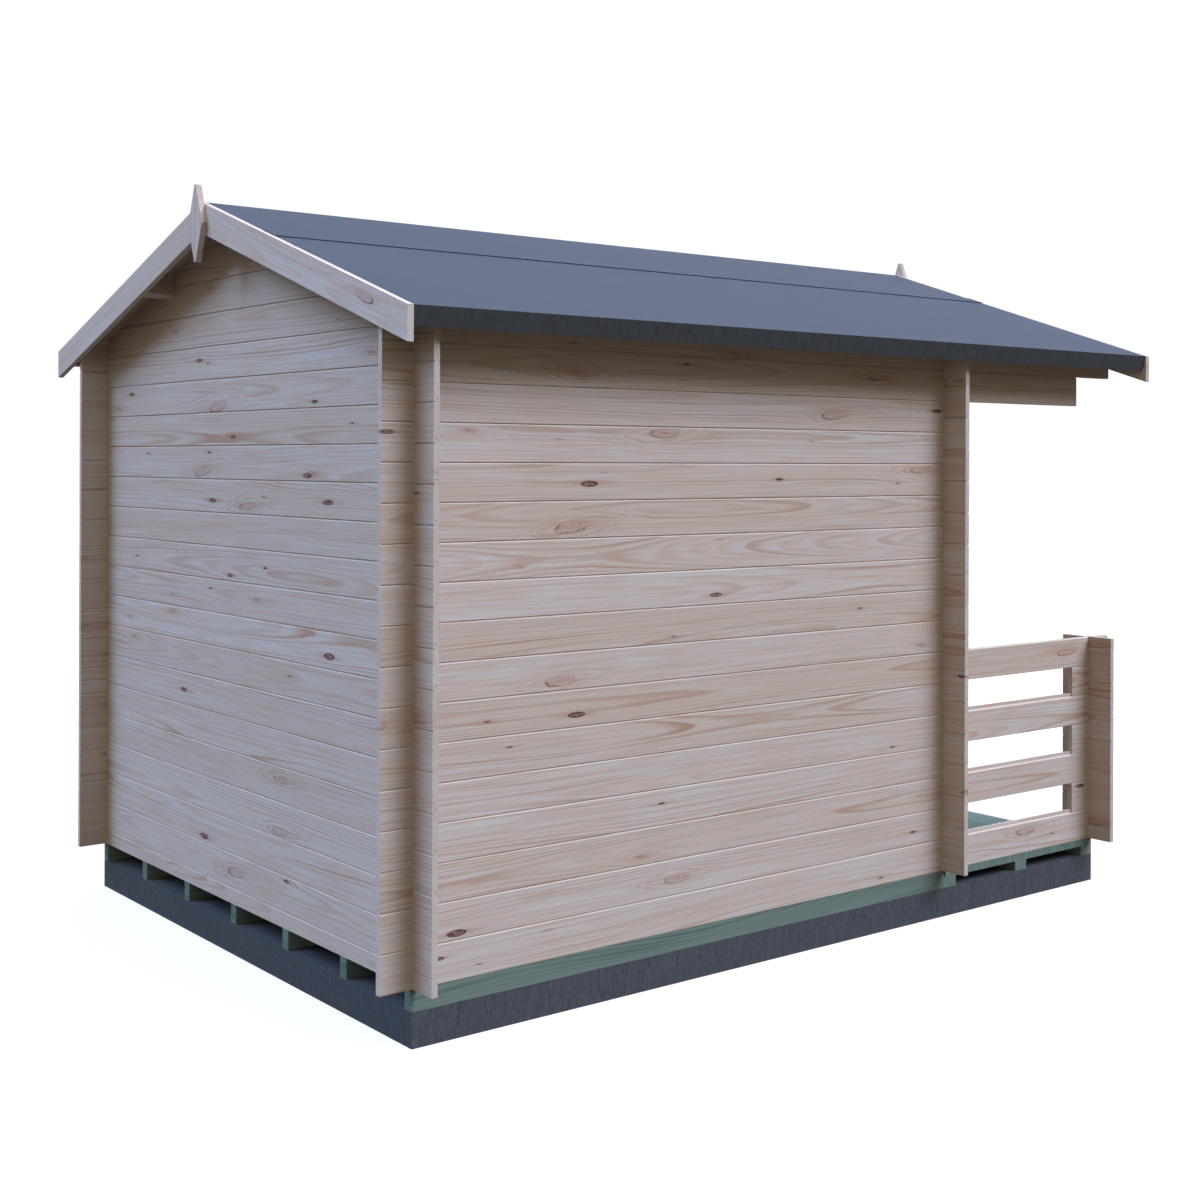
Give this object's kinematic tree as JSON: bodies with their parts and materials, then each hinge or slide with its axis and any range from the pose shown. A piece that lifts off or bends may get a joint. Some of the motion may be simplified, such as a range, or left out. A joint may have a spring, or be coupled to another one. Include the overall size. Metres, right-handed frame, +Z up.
{
  "type": "log cabin",
  "caption": "Garden log cabin with interlocking log corners, a felted gable roof over a porch with open log rails, treated bearers and a concrete slab.",
  "frame": {"origin": "middle of the slab's underside, at ground level", "axes": "+Z up, -Y towards the open front of the porch, +X to the right of someone who faces the door from the porch; the ridge runs along Y"},
  "size_m": [2.67, 3.4402, 2.5838],
  "materials": {
    "spruce": "matte",
    "treated_timber": "matte",
    "concrete": "matte",
    "roofing_felt": "matte",
    "glass": "gloss",
    "steel": "satin"
  },
  "bodies": {
    "root": {"base_slab": "concrete", "floor_bearers": "treated_timber", "room_floor": "spruce", "porch_bearers": "treated_timber", "porch_joists": "treated_timber", "porch_deck": "treated_timber", "left_wall_logs": "spruce", "left_rail_logs": "spruce", "left_eave_logs": "spruce", "right_wall_logs": "spruce", "right_rail_logs": "spruce", "right_eave_logs": "spruce", "left_post_side_logs": "spruce", "left_post_cross_logs": "spruce", "right_post_side_logs": "spruce", "right_post_cross_logs": "spruce", "back_wall_logs": "spruce", "back_gable_logs": "spruce", "front_sill_log": "spruce", "front_wall_left_logs": "spruce", "front_wall_right_logs": "spruce", "front_gable_logs": "spruce", "door_frame": "spruce", "left_door_leaf": "spruce", "right_door_leaf": "spruce", "door_panels": "spruce", "door_glass": "glass", "door_furniture": "steel", "ridge_purlin": "spruce", "left_purlin": "spruce", "right_purlin": "spruce", "left_roof_boards": "spruce", "right_roof_boards": "spruce", "left_eave_strip": "spruce", "right_eave_strip": "spruce", "left_felt": "roofing_felt", "right_felt": "roofing_felt", "ridge_felt": "roofing_felt", "back_left_barge": "spruce", "back_right_barge": "spruce", "front_left_barge": "spruce", "front_right_barge": "spruce", "back_finial": "spruce", "front_finial": "spruce"}
  },
  "joints": []
}
